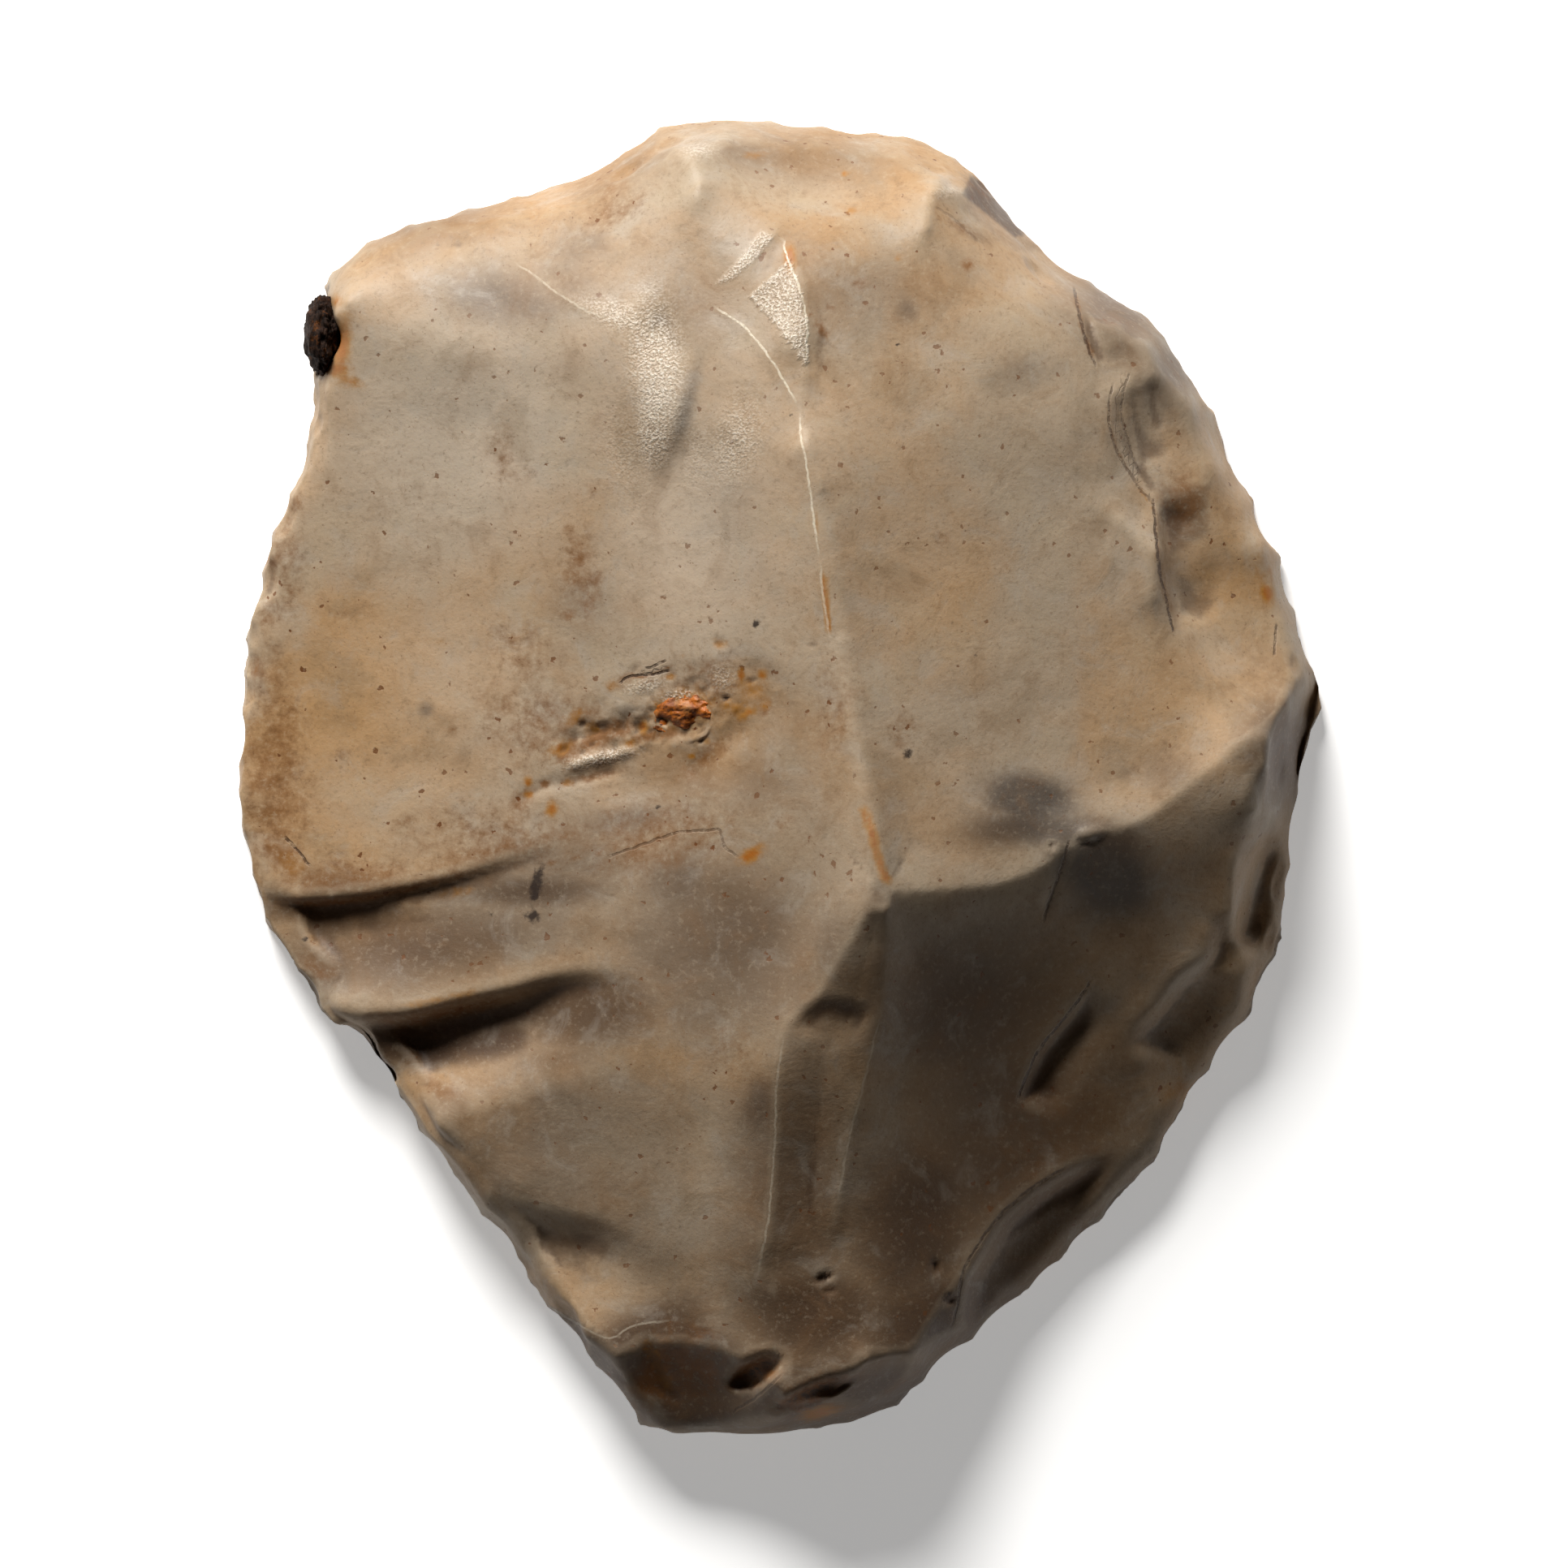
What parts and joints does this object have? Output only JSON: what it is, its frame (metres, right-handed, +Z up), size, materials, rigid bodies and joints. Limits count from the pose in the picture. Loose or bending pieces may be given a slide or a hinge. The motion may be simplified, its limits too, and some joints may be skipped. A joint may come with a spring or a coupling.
{
  "type": "flint scraper",
  "caption": "Broad oval flint flake scraper with a domed, ridged upper face of shallow flake scars, a steep chipped edge and a flat lower face.",
  "frame": {"origin": "on the table, under the middle of the stone's plan", "axes": "+X to the right and +Y away from the struck butt as the stone is seen from above, +Z up out of the ridged face"},
  "size_m": [0.0512, 0.062, 0.0134],
  "materials": {
    "flint": "waxy patinated flint, warm grey to beige, glossy on the crown",
    "cortex": "rough dark brown crust",
    "iron_oxide": "waxy rust-orange mineral"
  },
  "bodies": {
    "root": {"flint_flake": "flint", "cortex_crust": "cortex", "iron_oxide_infill": "iron_oxide"}
  },
  "joints": []
}
